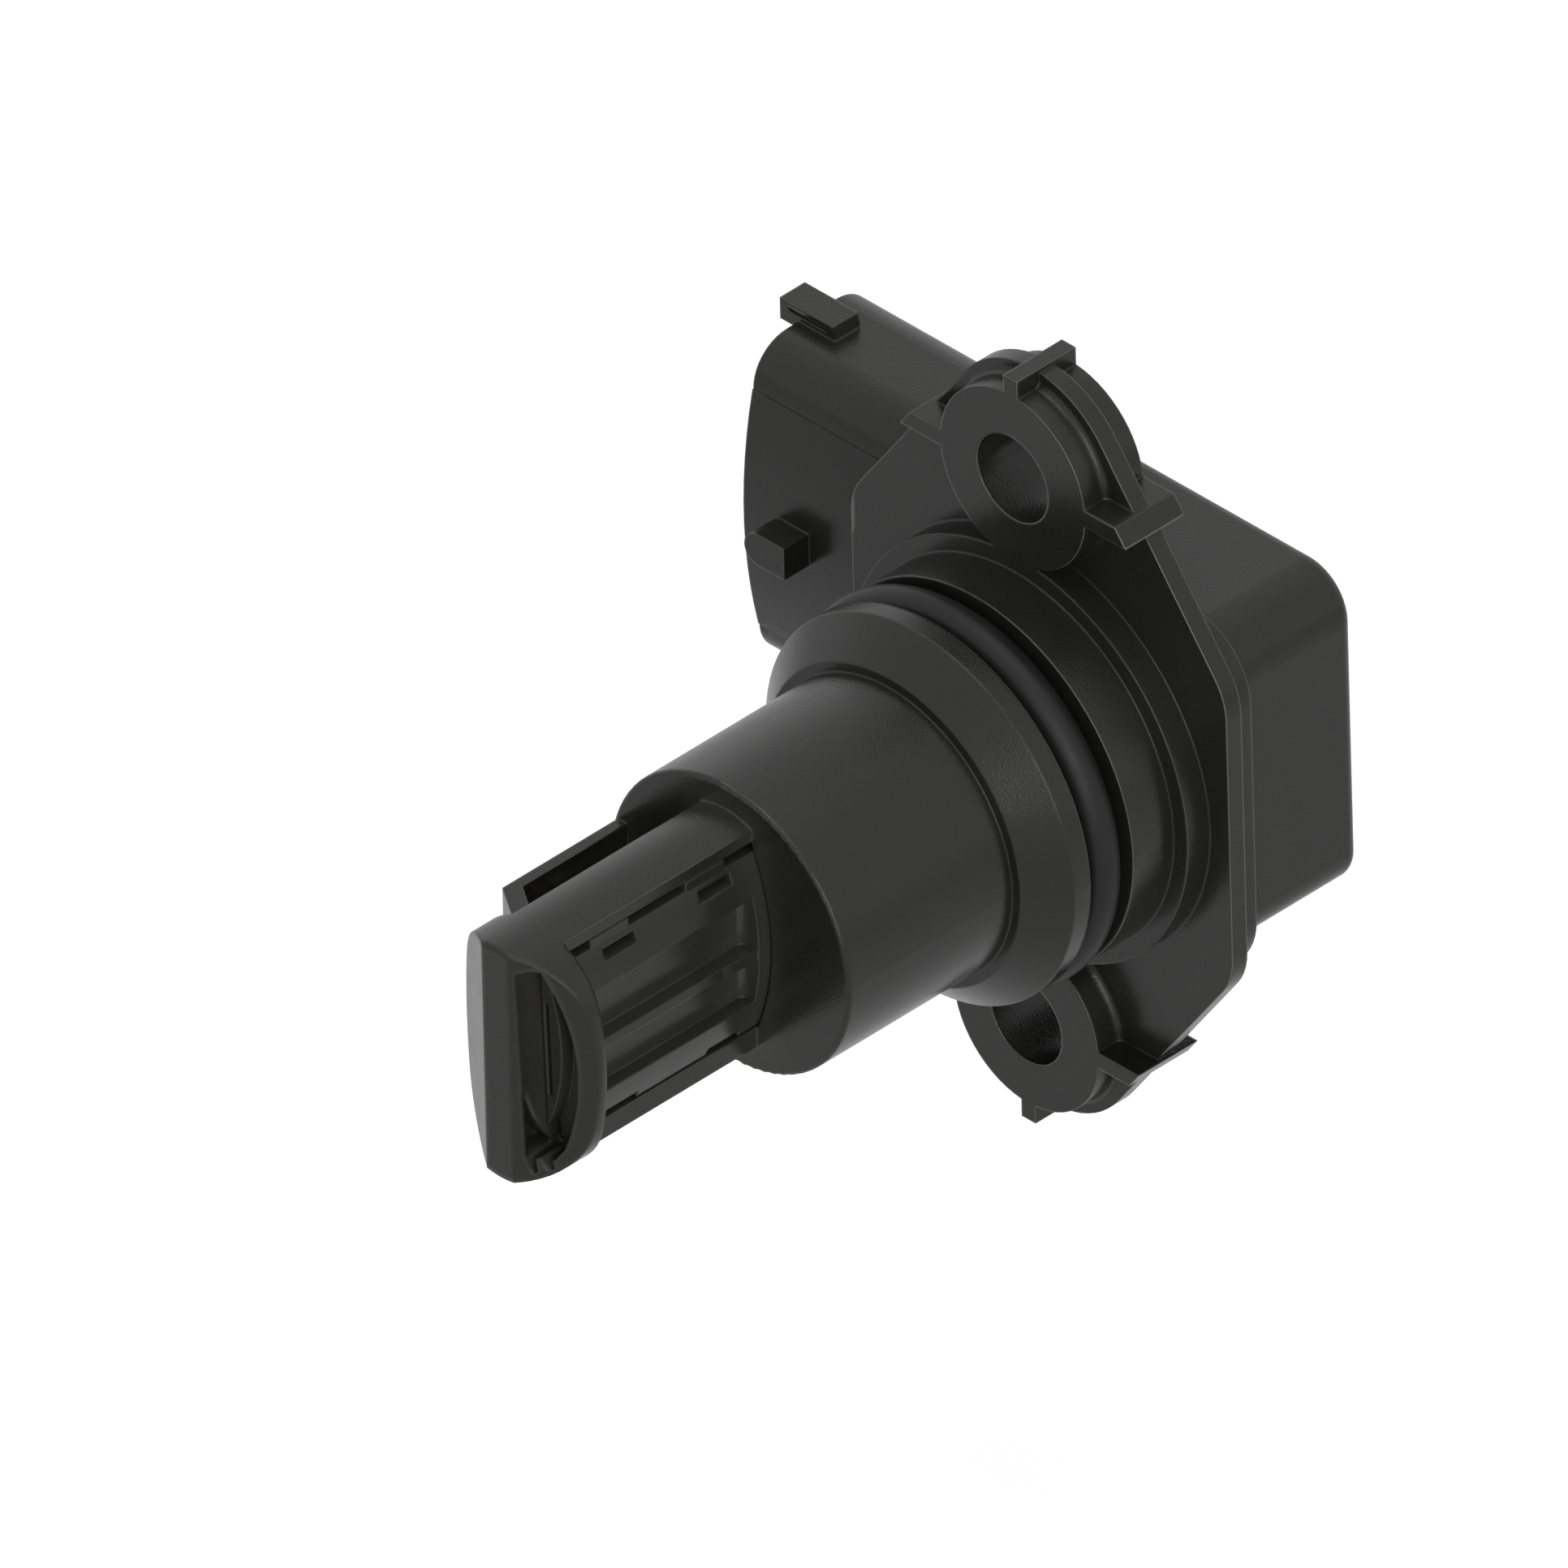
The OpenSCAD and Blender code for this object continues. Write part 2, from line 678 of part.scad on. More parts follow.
module o_ring() {
    seat = groove_floor_d / 2 + o_ring_cord_d / 2 + 0.02;
    color(rubber_black) turned()
        translate([seat, groove_back + groove_w / 2]) circle(d = o_ring_cord_d, $fn = 40);
}

// One snap lug, on the upper side
module lug_body(y) {
    translate([-arm_w / 2, y, insert_top - 1])
        cube([arm_w, lug_len, window_top - insert_clear - insert_top + 1]);
}

// One slot in the insert's side, from the height z upwards
module lug_slot(y, z) {
    translate([slot_floor_x, y + slot_back, z])
        cube([arm_w, lug_len + slot_run - slot_back, lug_slot_h]);
}

// The insert's snout in the cap window, with its curved far side and the plate behind it
module snout() {
    near = cap_web + snout_gap;
    along_y(snout_y, nose_y + merge) intersection() {
        translate([0, snout_mid_z]) lens(snout_reach, snout_side_r);
        polygon([[near - lean * snout_top, snout_top], [cage_w, snout_top], [cage_w, snout_foot],
                 [near - lean * snout_foot, snout_foot]]);
    }
    along_y(nose_y - nose_plate_t, nose_y + insert_clear) intersection() {
        cap_window_outline(insert_clear);
        square([2 * cage_w, 2 * (window_foot - insert_clear)], center = true);
    }
}

// The slit in the snout and the short duct from it to the pressure channel
module pressure_slit() {
    along_y(snout_y - 1, nose_y + slit_depth)
        polygon([[slit_x - lean * slit_top, slit_top], [slit_x - lean * slit_top + slit_w, slit_top],
                 [slit_x - lean * slit_foot + slit_w, slit_foot], [slit_x - lean * slit_foot, slit_foot]]);
    translate([0, nose_y + duct_t / 2, channel_z - duct_t / 2]) cube([slit_x + slit_w / 2, duct_t, duct_t]);
}

// Recess in one side of the insert, without its rib
module insert_recess() {
    rear = -(barrel_end + recess_rear);
    translate([0, 0, -recess_h / 2]) linear_extrude(recess_h) difference() {
        translate([recess_floor_x, nose_y + recess_front]) square([insert_a, rear - nose_y - recess_front]);
        translate([recess_floor_x, rear - recess_fillet_r]) difference() {
            square(recess_fillet_r);
            translate([recess_fillet_r, 0]) circle(r = recess_fillet_r);
        }
    }
}

// Rib along the middle of the recess, rising to the rear wall
module insert_rib() {
    rear = -(barrel_end + recess_rear);
    edge = recess_floor_x + 0.75 * (insert_a - recess_floor_x);
    translate([0, 0, rib_z - recess_rib_t / 2]) linear_extrude(recess_rib_t)
        polygon([[recess_floor_x - 0.3, nose_y + recess_front - 0.1], [edge, nose_y + recess_front - 0.1],
                 [edge, rear - 3], [insert_a - 0.1, rear + 0.1], [recess_floor_x - 0.3, rear + 0.1]]);
}

module probe_insert() {
    color(carrier_plastic) difference() {
        union() {
            difference() {
                along_y(nose_y, floor_y + insert_seal_t + 0.1) intersection() {
                    lens(insert_a, passage_side_r);
                    square([passage_w, insert_side_h], center = true);
                }
                both_sides() insert_recess();
            }
            both_sides() insert_rib();
            for (k = [0, 1]) lug_body(nose_y + lug_front + k * lug_pitch);
            snout();
            along_y(floor_y + insert_seal_t, insert_flange_back)
                oval(insert_flange_w / 2, insert_flange_h / 2, passage_side_r);
        }
        both_sides() for (k = [0, 1]) {
            lug_slot(nose_y + lug_front + k * lug_pitch, insert_top - slot_cover - lug_slot_h);
            lug_slot(nose_y + lug_front + k * low_slot_pitch, -insert_top - slot_open);
        }
        translate([-0.75, nose_y + 1.4, slim_low - 0.15])
            cube([2.2, insert_flange_back - nose_y, slim_high - slim_low + 0.3]);
        pressure_slit();
        rod_y(nose_y + 0.8, insert_flange_back + 1, channel_d, z = channel_z);
        rod_y(floor_y - 0.1, insert_flange_back + 1, bead_lead_d + 0.1, x = bead_x);
    }
}

module insert_seal() {
    color(rubber_black) along_y(floor_y, floor_y + insert_seal_t) difference() {
        oval(insert_flange_w / 2 - 0.2, insert_flange_h / 2 - 0.2, passage_side_r);
        passage_outline();
    }
}

module pressure_filter() {
    color([0.85, 0.85, 0.82]) rod_y(nose_y + 3, nose_y + 7, channel_d, z = channel_z);
}

module probe_board() {
    color(board_green) along_x(-probe_board_t / 2, probe_board_t / 2)
        polygon([[nose_y + 1.6, slim_low], [insert_flange_back + 0.6, slim_low],
                 [insert_flange_back + 0.6, tongue_low], [board_back + 0.6, tongue_low],
                 [board_back + 0.6, tongue_high], [insert_flange_back + 0.6, tongue_high],
                 [insert_flange_back + 0.6, slim_high], [nose_y + 1.6, slim_high]]);
}

module air_element() {
    color(chip_black) translate([probe_board_t / 2, nose_y + 5, slim_low + 1.8]) cube([0.8, 2.4, 2.4]);
}

module temperature_bead() {
    color([0.25, 0.22, 0.18]) translate([bead_x, bead_y, 0]) difference() {
        sphere(d = bead_d, $fn = 48);
        for (z = [-lead_gap / 2, lead_gap / 2]) rod_y(0, bead_d, bead_lead_d, z = z);
    }
}

// One lead from the bead through the housing to the main board
module bead_lead(z) {
    color(tin) rod_y(bead_y, board_back + 0.5, bead_lead_d, x = bead_x, z = z);
}

module bead_lead_a() bead_lead(-lead_gap / 2);
module bead_lead_b() bead_lead(lead_gap / 2);

module circuit_board() {
    color(board_green) difference() {
        along_y(board_front, board_back)
            round_box(inner_left + cover_ledge_w + board_clear, inner_right - cover_ledge_w - board_clear,
                      inner_h - 2 * cover_ledge_w - 2 * board_clear, 1.5, 1.5);
        at_posts() rod_y(board_front - 1, board_back + 1, post_pin_d + 0.2);
        translate([-probe_board_t / 2 - solder_gap, board_front - 1, tongue_low - solder_gap])
            cube([probe_board_t + 2 * solder_gap, board_t + 2, tongue_high - tongue_low + 2 * solder_gap]);
        for (z = [-lead_gap / 2, lead_gap / 2])
            rod_y(board_front - 1, board_back + 1, bead_lead_d + 0.2, x = bead_x, z = z);
        for (k = [0:3])
            translate([blade_x - blade_t / 2 - 0.1, board_front - 1, blade_z(k) - blade_w / 4 - 0.1])
                cube([blade_t + 0.2, board_t + 2, blade_w / 2 + 0.2]);
    }
}

module pressure_cell() {
    color(chip_black) translate([-cell_w / 2, insert_flange_back + port_seal_t, channel_z - 0.43 * cell_w])
        cube([cell_w, board_front - insert_flange_back - port_seal_t, 0.86 * cell_w]);
}

module port_seal() {
    color(rubber_black) difference() {
        rod_y(insert_flange_back, insert_flange_back + port_seal_t, channel_d + 2, z = channel_z);
        rod_y(insert_flange_back - 1, insert_flange_back + 2, channel_d, z = channel_z);
    }
}

module signal_chip() {
    color(chip_black) translate([0.68 * chip_w, board_back, -0.6 * chip_w])
        cube([chip_w, 0.2 * chip_w, chip_w]);
}

module capacitors() {
    color([0.6, 0.5, 0.38]) for (k = [-1.5:1.5])
        translate([-3.75 * capacitor_len, board_back, k * capacitor_pitch - capacitor_len / 4])
            cube([capacitor_len, capacitor_len / 2, capacitor_len / 2]);
}

// Height of terminal number k
function blade_z(k) = (k - 1.5) * blade_pitch;

// One blade: along the socket, then turned towards the main board
module terminal(k) {
    color(tin) union() {
        translate([socket_end - blade_len, shroud_y - blade_t / 2, blade_z(k) - blade_w / 2])
            cube([blade_x + blade_t / 2 - socket_end + blade_len, blade_t, blade_w]);
        translate([blade_x - blade_t / 2, board_front - 0.6, blade_z(k) - blade_w / 4])
            cube([blade_t, shroud_y - board_front + 0.6, blade_w / 2]);
    }
}

module terminal_1() terminal(0);
module terminal_2() terminal(1);
module terminal_3() terminal(2);
module terminal_4() terminal(3);

module terminal_carrier() {
    color(carrier_plastic) difference() {
        translate([socket_end, shroud_y - carrier_d / 2, -carrier_h / 2])
            cube([inner_left - socket_end, carrier_d, carrier_h]);
        for (k = [0:3])
            translate([socket_end - 1, shroud_y - blade_t / 2, blade_z(k) - blade_w / 2])
                cube([inner_left - socket_end + 2, blade_t, blade_w]);
    }
}

module cover_seal() {
    color(rubber_black) along_y(ledge_y, cover_front) difference() {
        round_box(inner_left + cover_clear, inner_right - cover_clear, inner_h - 2 * cover_clear,
                  inner_r, inner_r);
        round_box(inner_left + cover_ledge_w, inner_right - cover_ledge_w, inner_h - 2 * cover_ledge_w,
                  inner_r, inner_r);
    }
}

module rear_cover() {
    color(plastic) difference() {
        along_y(cover_front, box_back)
            round_box(inner_left + cover_clear, inner_right - cover_clear, inner_h - 2 * cover_clear,
                      inner_r, inner_r);
        rod_y(cover_front - 1, box_back + 1, vent_d, x = vent_x, z = -vent_x);
    }
}

module vent_membrane() {
    color([0.88, 0.88, 0.86]) rod_y(cover_front - 0.2, cover_front, 2 * vent_d, x = vent_x, z = -vent_x);
}

housing();
o_ring();
probe_insert();
insert_seal();
pressure_filter();
probe_board();
air_element();
temperature_bead();
bead_lead_a();
bead_lead_b();
circuit_board();
pressure_cell();
port_seal();
signal_chip();
capacitors();
terminal_carrier();
terminal_1();
terminal_2();
terminal_3();
terminal_4();
cover_seal();
rear_cover();
vent_membrane();
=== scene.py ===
"""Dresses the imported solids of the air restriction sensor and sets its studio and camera.

Lengths are in metres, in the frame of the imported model: -Y towards the probe's tip,
+Z towards the upper bolt ear, and -X towards the connector's mouth.
"""

import logging
from dataclasses import dataclass
from enum import Enum

import bpy
from mathutils import Matrix, Vector


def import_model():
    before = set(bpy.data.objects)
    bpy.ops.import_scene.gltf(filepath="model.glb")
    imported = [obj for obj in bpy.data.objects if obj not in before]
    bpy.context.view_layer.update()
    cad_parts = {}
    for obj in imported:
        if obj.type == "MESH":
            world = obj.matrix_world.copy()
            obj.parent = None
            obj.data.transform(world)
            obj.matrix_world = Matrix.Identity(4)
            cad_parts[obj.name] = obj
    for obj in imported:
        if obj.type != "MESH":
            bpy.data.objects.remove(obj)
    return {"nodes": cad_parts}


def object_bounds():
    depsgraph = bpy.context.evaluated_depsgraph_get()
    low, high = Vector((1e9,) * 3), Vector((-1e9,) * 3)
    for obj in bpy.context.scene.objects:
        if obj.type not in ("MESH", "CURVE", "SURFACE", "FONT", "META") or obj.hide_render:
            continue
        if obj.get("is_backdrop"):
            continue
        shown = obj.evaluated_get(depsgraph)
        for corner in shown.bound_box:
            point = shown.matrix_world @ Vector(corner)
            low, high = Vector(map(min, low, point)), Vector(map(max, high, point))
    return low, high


LOG = logging.getLogger("sensor")
MM = 0.001
WHITE = (1.0, 1.0, 1.0, 1.0)

Colour = tuple[float, float, float]
Direction = tuple[float, float, float]
Span = tuple[float, float]
Socket = bpy.types.NodeSocket


class RayKind(Enum):
    """Kinds of ray for which the surround shows itself as plain white."""

    CAMERA = "Is Camera Ray"
    GLOSSY = "Is Glossy Ray"
    TRANSMISSION = "Is Transmission Ray"


class NodeSheet:
    """A node tree that is filled one node at a time."""

    def __init__(self, tree: bpy.types.NodeTree) -> None:
        """Empties a tree.

        Args:
            tree: The material's or the world's node tree.
        """
        self.tree = tree
        self.tree.nodes.clear()

    def add(
        self, kind: str, inputs: dict[str | int, object] | None = None, **settings: object
    ) -> bpy.types.Node:
        """Adds a node.

        Args:
            kind: Blender's name of the node type.
            inputs: Values or output sockets, by the input's name or number.
            settings: Settings of the node itself.

        Returns:
            The new node.
        """
        node = self.tree.nodes.new(kind)
        for name, value in settings.items():
            setattr(node, name, value)
        for name, value in (inputs or {}).items():
            socket = node.inputs[name]
            if isinstance(value, Socket):
                self.tree.links.new(value, socket)
            else:
                socket.default_value = value
        return node

    def maths(
        self, operation: str, first: object, second: object = 0.0, third: object = 0.0
    ) -> Socket:
        """Adds a Math node.

        Args:
            operation: Blender's name of the operation.
            first: First value or socket.
            second: Second value or socket.
            third: Third value or socket.

        Returns:
            The node's output.
        """
        node = self.add("ShaderNodeMath", {0: first, 1: second, 2: third}, operation=operation)
        return node.outputs[0]

    def part(self, vector: Socket, axis: str) -> Socket:
        """One part of a vector, by its axis X, Y or Z."""
        return self.add("ShaderNodeSeparateXYZ", {"Vector": vector}).outputs[axis]

    def dot(self, first: Socket, second: Socket) -> Socket:
        """The dot product of two vectors."""
        inputs = {0: first, 1: second}
        return self.add("ShaderNodeVectorMath", inputs, operation="DOT_PRODUCT").outputs["Value"]

    def ramp(self, value: Socket, span: Span, result: Span) -> Socket:
        """Adds a smooth ramp that is level beyond its ends.

        Args:
            value: The value that runs through the ramp.
            span: Where the ramp starts and ends.
            result: The result at both ends.

        Returns:
            The ramp's output.
        """
        inputs = {"Value": value, 1: span[0], 2: span[1], 3: result[0], 4: result[1]}
        node = self.add("ShaderNodeMapRange", inputs, interpolation_type="SMOOTHSTEP")
        return node.outputs["Result"]

    def noise(self, place: Socket, size: float, detail: float, fall: float = 0.55) -> Socket:
        """Adds noise around 0.5.

        Args:
            place: Coordinates.
            size: Size of its patches.
            detail: How many finer scales ride on it.
            fall: How strong each finer scale is beside the one before.

        Returns:
            The noise.
        """
        inputs = {"Vector": place, "Scale": 1.0 / size, "Detail": detail, "Roughness": fall}
        return self.add("ShaderNodeTexNoise", inputs).outputs["Fac"]


@dataclass(frozen=True)
class Grain:
    """One scale of relief on a surface.

    Attributes:
        size: Size of its grains.
        height: Height of its grains.
        detail: How many finer scales ride on it.
        side_share: Share of the height on faces that don't look up.
        upward: The normal's part along Z from which the height grows, and at which it is full.
    """

    size: float
    height: float
    detail: float = 2.0
    side_share: float = 1.0
    upward: Span = (0.1, 0.75)

    def on(self, sheet: NodeSheet, place: Socket, normal: Socket) -> Socket:
        """Adds the grain to a normal.

        Args:
            sheet: The node tree.
            place: Object coordinates.
            normal: The normal without the grain.

        Returns:
            The normal with the grain.
        """
        inputs: dict[str, object] = {
            "Height": sheet.noise(place, self.size, self.detail),
            "Distance": self.height,
            "Normal": normal,
        }
        if self.side_share != 1.0:
            true_normal = sheet.add("ShaderNodeNewGeometry").outputs["True Normal"]
            facing = sheet.part(true_normal, "Z")
            inputs["Strength"] = sheet.ramp(facing, self.upward, (self.side_share, 1.0))
        return sheet.add("ShaderNodeBump", inputs).outputs["Normal"]


@dataclass(frozen=True)
class SoftSeam:
    """Lines along the connector's shroud where its side and corner curves flow together.

    Attributes:
        height: Distance of the lines from the plane z = 0.
        near: Within this distance of a line the rounding is at its widest.
        far: Beyond this distance it is as elsewhere.
        start: The lines' -X end.
        stop_front: Their +X end in front of the shroud's middle, behind the flange's edge.
        stop_rear: Their +X end behind the middle, at the electronics box.
        middle: Place along Y that parts front and rear.
        radius: What the lines add to the edges' radius.
    """

    height: float = 9.5 * MM
    near: float = 0.5 * MM
    far: float = 1.8 * MM
    start: float = -31.6 * MM
    stop_front: float = -16.9 * MM
    stop_rear: float = -14.0 * MM
    middle: float = 9 * MM
    radius: float = 1.3 * MM

    def share(self, sheet: NodeSheet, place: Socket) -> Socket:
        """Builds the mask of the lines.

        Args:
            sheet: The node tree.
            place: Object coordinates.

        Returns:
            1 on the lines, 0 away from them.
        """
        along = sheet.part(place, "X")
        height = sheet.maths("ABSOLUTE", sheet.part(place, "Z"))
        distance = sheet.maths("ABSOLUTE", sheet.maths("SUBTRACT", height, self.height))
        close = sheet.ramp(distance, (self.near, self.far), (1.0, 0.0))
        begun = sheet.ramp(along, (self.start, self.start + self.near), (0.0, 1.0))
        parting = (self.middle - self.near, self.middle)
        stop = sheet.ramp(sheet.part(place, "Y"), parting, (self.stop_front, self.stop_rear))
        past_stop = sheet.maths("SUBTRACT", along, stop)
        ended = sheet.ramp(past_stop, (-self.near, 0.0), (1.0, 0.0))
        return sheet.maths("MULTIPLY", close, sheet.maths("MULTIPLY", begun, ended))


@dataclass(frozen=True)
class SoftTip:
    """The cap at the probe's tip, whose rims are rounded wider and get little painted highlight.

    Attributes:
        start: Place along Y at which the cap starts.
        blend: Length over which it starts.
        radius: What the cap adds to the edges' radius.
        highlight_cut: How much less painted highlight its rims get, as a share.
    """

    start: float = -44.2 * MM
    blend: float = 0.6 * MM
    radius: float = 0.35 * MM
    highlight_cut: float = 0.9

    def share(self, sheet: NodeSheet, place: Socket) -> Socket:
        """1 on the cap, 0 elsewhere."""
        along = sheet.part(place, "Y")
        return sheet.ramp(along, (self.start - self.blend, self.start), (1.0, 0.0))


@dataclass(frozen=True)
class PaintedEdgeAndRecessLight:
    """Painted light on a dark moulding: painted highlights on its outer edges and painted light
    in its shallow recesses.

    Openness is 1 on a free face and falls to 0 between close walls.

    Attributes:
        edge_highlight_gain: How many times paler the painted highlight makes the outer edges.
        recess_light_gain: How many times paler the painted light makes the recesses.
        recess_light_stop: Place along Y beyond which the recesses get no painted light, if any.
        recess_light_blend: Length over which that stops.
        reach: How far a wall closes in the surface round it.
        samples: Rays that measure the openness.
        edge_flatness: Cosine between rounded and true normal on an edge, and beside it.
        outer_openness: Openness of a place that is hardly an outer one, and of a full one.
        recess_openness: Openness of the palest recess, and of a place that is no recess.
        slot_openness: Openness of a slot that stays dark, and of a full recess.
        tip: The cap, whose rims get little painted highlight.
    """

    edge_highlight_gain: float
    recess_light_gain: float
    recess_light_stop: float | None = None
    recess_light_blend: float = 1.5 * MM
    reach: float = 5 * MM
    samples: int = 4
    edge_flatness: Span = (0.76, 0.93)
    outer_openness: Span = (0.84, 0.97)
    recess_openness: Span = (0.45, 0.85)
    slot_openness: Span = (0.15, 0.38)
    tip: SoftTip = SoftTip()

    def gain(self, sheet: NodeSheet, place: Socket, rounded: Socket) -> Socket:
        """Works out how many times paler the painted highlights and painted recess light make
        each place.

        Args:
            sheet: The node tree.
            place: Object coordinates.
            rounded: The normal with rounded edges.

        Returns:
            The factor on the colour.
        """
        inputs = {"Distance": self.reach}
        node = sheet.add("ShaderNodeAmbientOcclusion", inputs, samples=self.samples)
        openness = node.outputs["AO"]
        recesses = self._painted_recess_light(sheet, place, openness)
        edges = self._painted_edge_highlights(sheet, place, rounded, openness)
        return sheet.maths("MULTIPLY", recesses, edges)

    def _painted_recess_light(self, sheet: NodeSheet, place: Socket, openness: Socket) -> Socket:
        """Works out the painted light in the recesses, as a factor that is 1 elsewhere.

        Args:
            sheet: The node tree.
            place: Object coordinates.
            openness: How open each place is.

        Returns:
            The factor on the colour.
        """
        # Painted light: shallow recesses are made paler the more closed they are, while deep
        # slots stay dark.
        extra = sheet.ramp(openness, self.recess_openness, (self.recess_light_gain - 1.0, 0.0))
        shallow = sheet.ramp(openness, self.slot_openness, (0.0, 1.0))
        extra = sheet.maths("MULTIPLY", extra, shallow)
        if self.recess_light_stop is not None:
            stop = (self.recess_light_stop - self.recess_light_blend, self.recess_light_stop)
            tipward = sheet.ramp(sheet.part(place, "Y"), stop, (1.0, 0.0))
            extra = sheet.maths("MULTIPLY", extra, tipward)
        return sheet.maths("ADD", extra, 1.0)

    def _painted_edge_highlights(
        self, sheet: NodeSheet, place: Socket, rounded: Socket, openness: Socket
    ) -> Socket:
        """Works out the painted highlights on the outer edges, as a factor that is 1 elsewhere.

        Args:
            sheet: The node tree.
            place: Object coordinates.
            rounded: The normal with rounded edges.
            openness: How open each place is.

        Returns:
            The factor on the colour.
        """
        true_normal = sheet.add("ShaderNodeNewGeometry").outputs["True Normal"]
        flatness = sheet.dot(rounded, true_normal)
        # Painted highlight: outer edges, where the rounded normal turns away from the true one,
        # are made paler.
        extra = sheet.ramp(flatness, self.edge_flatness, (self.edge_highlight_gain - 1.0, 0.0))
        outer = sheet.ramp(openness, self.outer_openness, (0.0, 1.0))
        on_tip = self.tip.share(sheet, place)
        # The cap's rims get less of the painted highlight.
        highlight_share = sheet.maths("MULTIPLY_ADD", on_tip, -self.tip.highlight_cut, 1.0)
        return sheet.maths("MULTIPLY_ADD", extra, sheet.maths("MULTIPLY", outer, highlight_share), 1.0)


@dataclass(frozen=True)
class Finish:
    """A surface finish made from noise on object coordinates, with painted highlights and painted
    recess light where it has them.

    Attributes:
        name: The material's name.
        colour: Its linear colour.
        roughness: Its mean roughness.
        rough_spread: How far the roughness wanders to each side.
        rough_patch: Size of the patches in which it wanders, as a share of the mottle's.
        rough_detail: How many finer scales ride on those patches.
        mottle: How far the colour wanders, as a share of itself.
        mottle_size: Size of the patches in which it wanders.
        mottle_detail: How many finer scales ride on those patches.
        speckle: How far fine specks change the colour, as a share of itself.
        speckle_size: Size of those specks.
        speckle_detail: How many finer scales ride on the specks.
        grains: Relief, from coarse to fine.
        edge_radius: Radius of the rounding on the edges.
        edge_samples: Rays that find the edges.
        seam: Lines with a wider rounding, if any.
        tip: Cap with a wider rounding, if any.
        painted_light: Painted highlights on the outer edges and painted light in the recesses, if
            any.
        metallic: 1 for a metal.
        ior: Index of refraction.
    """

    name: str
    colour: Colour
    roughness: float
    rough_spread: float = 0.05
    rough_patch: float = 0.6
    rough_detail: float = 4.0
    mottle: float = 0.1
    mottle_size: float = 3 * MM
    mottle_detail: float = 3.0
    speckle: float = 0.0
    speckle_size: float = 0.15 * MM
    speckle_detail: float = 1.0
    grains: tuple[Grain, ...] = ()
    edge_radius: float = 0.0
    edge_samples: int = 8
    seam: SoftSeam | None = None
    tip: SoftTip | None = None
    painted_light: PaintedEdgeAndRecessLight | None = None
    metallic: float = 0.0
    ior: float = 1.5

    def material(self) -> bpy.types.Material:
        """Builds the finish.

        Returns:
            The material.
        """
        material = bpy.data.materials.new(self.name)
        material.use_nodes = True
        material.diffuse_color = (*self.colour, 1.0)
        sheet = NodeSheet(material.node_tree)
        place = sheet.add("ShaderNodeTexCoord").outputs["Object"]
        rounding = {"Radius": self._radius(sheet, place)}
        bevel = sheet.add("ShaderNodeBevel", rounding, samples=self.edge_samples)
        rounded = bevel.outputs["Normal"]
        shader = sheet.add(
            "ShaderNodeBsdfPrincipled",
            {
                "Base Color": self._colour(sheet, place, rounded),
                "Roughness": self._roughness(sheet, place),
                "Normal": self._relief(sheet, place, rounded),
            },
        )
        shader.inputs["Metallic"].default_value = self.metallic
        shader.inputs["IOR"].default_value = self.ior
        sheet.add("ShaderNodeOutputMaterial", {"Surface": shader.outputs["BSDF"]})
        return material

    def _radius(self, sheet: NodeSheet, place: Socket) -> float | Socket:
        """Works out the edges' radius, wider on the cap and along the seam.

        Args:
            sheet: The node tree.
            place: Object coordinates.

        Returns:
            The radius, one number where it is the same all over.
        """
        radius: float | Socket = self.edge_radius
        for wider in (self.tip, self.seam):
            if wider is not None:
                share = wider.share(sheet, place)
                radius = sheet.maths("MULTIPLY_ADD", share, wider.radius, radius)
        return radius

    def _colour(self, sheet: NodeSheet, place: Socket, rounded: Socket) -> Socket:
        """Works out the colour with its mottle and specks, paler where highlights and recess
        light are painted.

        Args:
            sheet: The node tree.
            place: Object coordinates.
            rounded: The normal with rounded edges.

        Returns:
            The colour.
        """
        patches = sheet.noise(place, self.mottle_size, self.mottle_detail)
        specks = sheet.noise(place, self.speckle_size, self.speckle_detail)
        least = 1.0 - self.mottle - self.speckle
        wander = sheet.maths("MULTIPLY_ADD", patches, 2.0 * self.mottle, least)
        wander = sheet.maths("MULTIPLY_ADD", specks, 2.0 * self.speckle, wander)
        # Painted highlights on the outer edges and painted light in the recesses make the colour
        # paler.
        if self.painted_light is not None:
            wander = sheet.maths("MULTIPLY", wander, self.painted_light.gain(sheet, place, rounded))
        inputs = {0: self.colour, "Scale": wander}
        return sheet.add("ShaderNodeVectorMath", inputs, operation="SCALE").outputs["Vector"]

    def _roughness(self, sheet: NodeSheet, place: Socket) -> Socket:
        """Works out the roughness, which wanders in patches.

        Args:
            sheet: The node tree.
            place: Object coordinates.

        Returns:
            The roughness.
        """
        size = self.rough_patch * self.mottle_size
        patches = sheet.noise(place, size, self.rough_detail)
        least = self.roughness - self.rough_spread
        return sheet.maths("MULTIPLY_ADD", patches, 2.0 * self.rough_spread, least)

    def _relief(self, sheet: NodeSheet, place: Socket, rounded: Socket) -> Socket:
        """Puts the grains on the surface.

        Args:
            sheet: The node tree.
            place: Object coordinates.
            rounded: The normal with rounded edges.

        Returns:
            The normal with rounded edges and all grains.
        """
        normal = rounded
        for grain in self.grains:
            normal = grain.on(sheet, place, normal)
        return normal


